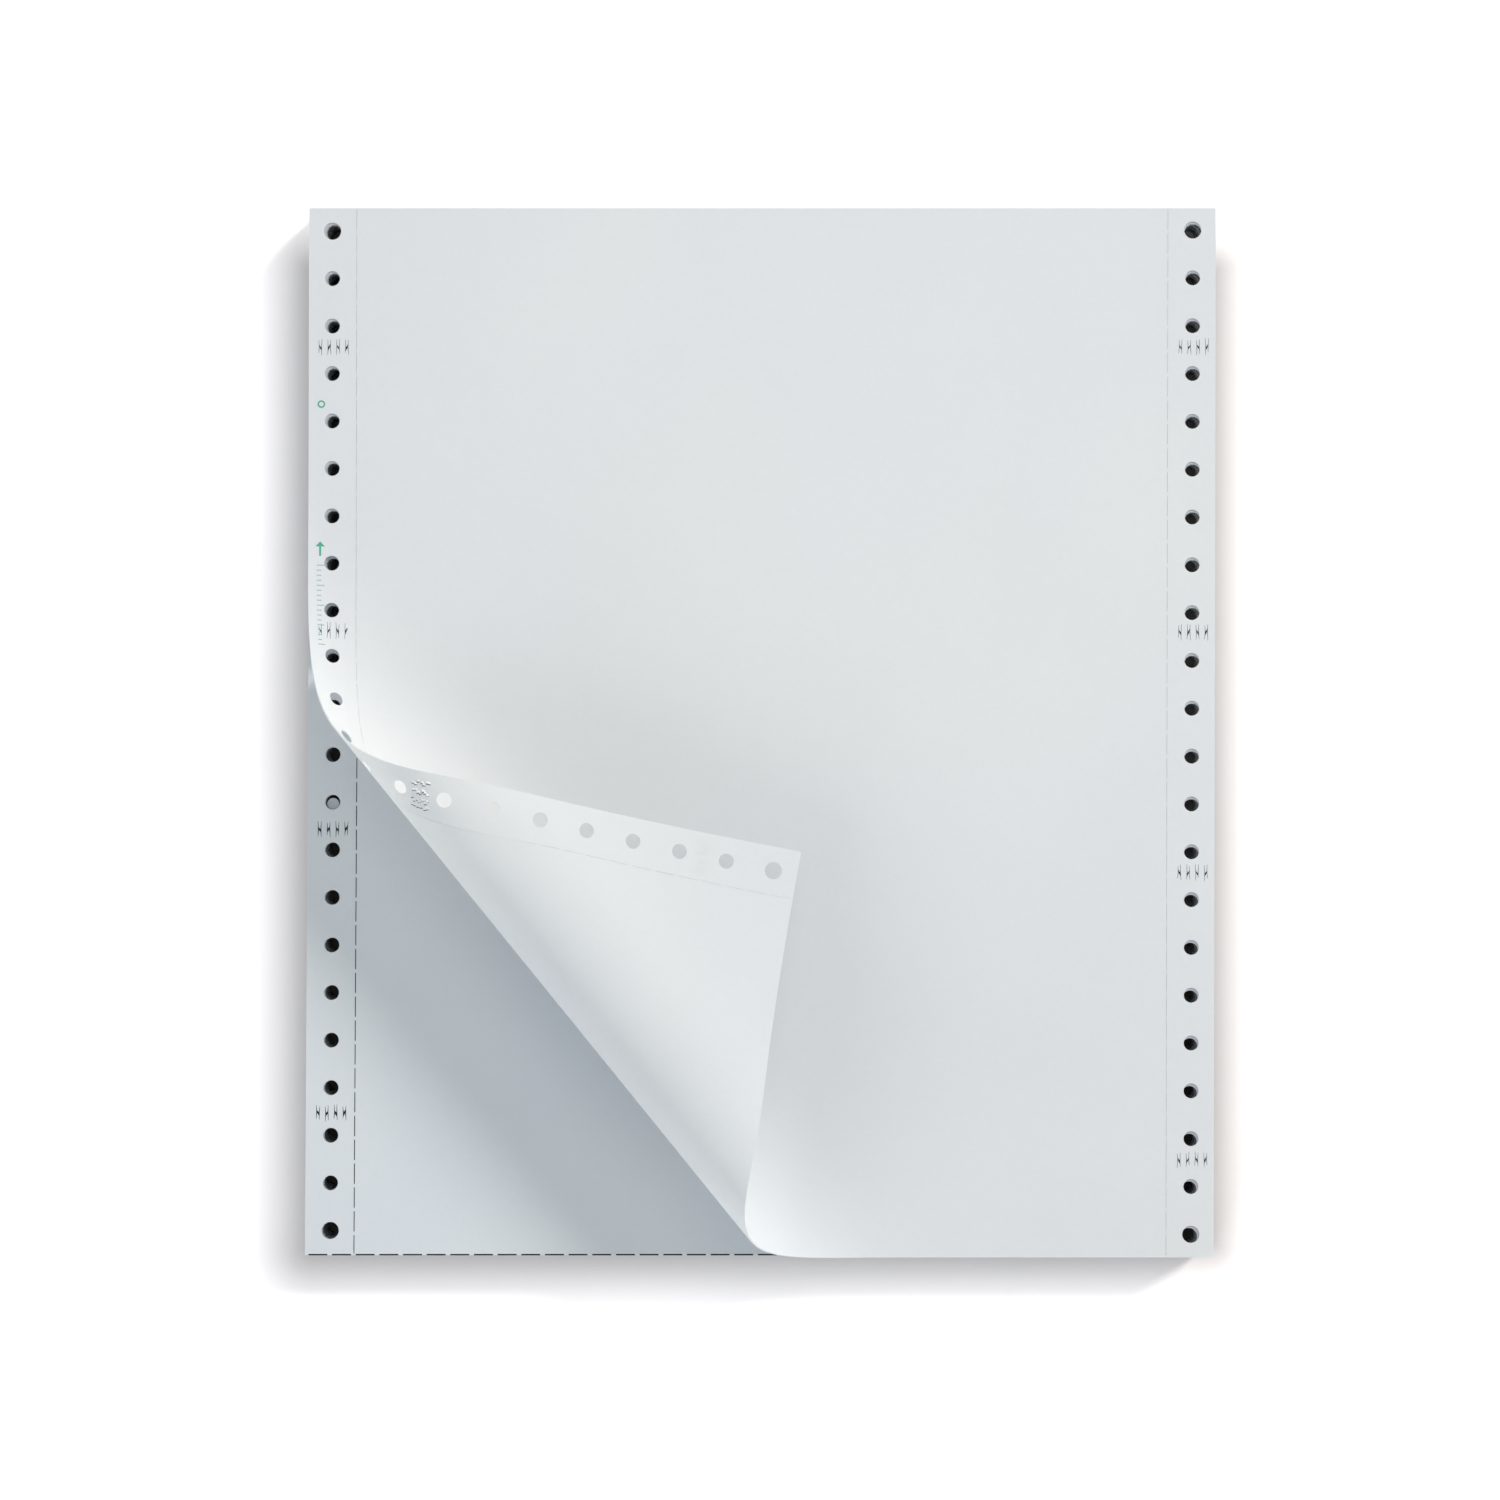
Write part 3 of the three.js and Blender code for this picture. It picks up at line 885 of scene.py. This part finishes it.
world = bpy.data.worlds.new("surroundings")
bpy.context.scene.world = world
world.use_nodes = True
nt = world.node_tree
nt.nodes.clear()
world_out = nt.nodes.new("ShaderNodeOutputWorld")
sky = background(nt, SKY_COLOUR, SKY_STRENGTH)
white = background(nt, (1, 1, 1, 1), 1.0)
nt.links.new(mixed_shader(nt, seen_rays(nt), sky, white), world_out.inputs["Surface"])

# Ground

floor_mesh = bpy.data.meshes.new("floor")
floor_corners = [(x, y, 0) for x, y in oblong(0, 0, GROUND_HALF, GROUND_HALF)]
floor_mesh.from_pydata(floor_corners, [], [(0, 1, 2, 3)])
floor = bpy.data.objects.new("floor", floor_mesh)
floor.location.z = -GROUND_DROP
bpy.context.scene.collection.objects.link(floor)
floor_mat = bpy.data.materials.new("white_ground_painted_shadow")
floor_mat.use_nodes = True
nt = floor_mat.node_tree
nt.nodes.clear()
floor_out = nt.nodes.new("ShaderNodeOutputMaterial")
diffuse = nt.nodes.new("ShaderNodeBsdfDiffuse")
# the distance from the pack's foot, and the painted shadow on the ground that fades to white with it
reach = nt.nodes.new("ShaderNodeNewGeometry").outputs["Position"]
steps = (
    ("ADD", SHADOW_OFF),
    ("ABSOLUTE", None),
    ("SUBTRACT", SHADOW_FOOT),
    ("MAXIMUM", (0, 0, 0)),
    ("LENGTH", None),
)
for step, by in steps:
    node = nt.nodes.new("ShaderNodeVectorMath")
    node.operation = step
    nt.links.new(reach, node.inputs[0])
    if by is not None:
        node.inputs[1].default_value = by
    reach = node.outputs["Value" if step == "LENGTH" else "Vector"]
shadow_fade = mapped(nt, reach, 0.0, SHADOW_REACH, 0.0, 1.0)
shown = blend(nt, "MIX", shadow_fade, GROUND_PAINTED_SHADOW, GROUND_FAR)
nt.links.new(blend(nt, "MIX", seen_rays(nt), GROUND_UNSEEN, shown), diffuse.inputs["Color"])
nt.links.new(diffuse.outputs[0], floor_out.inputs["Surface"])
floor.data.materials.append(floor_mat)

bpy.context.scene.view_settings.view_transform = "Standard"
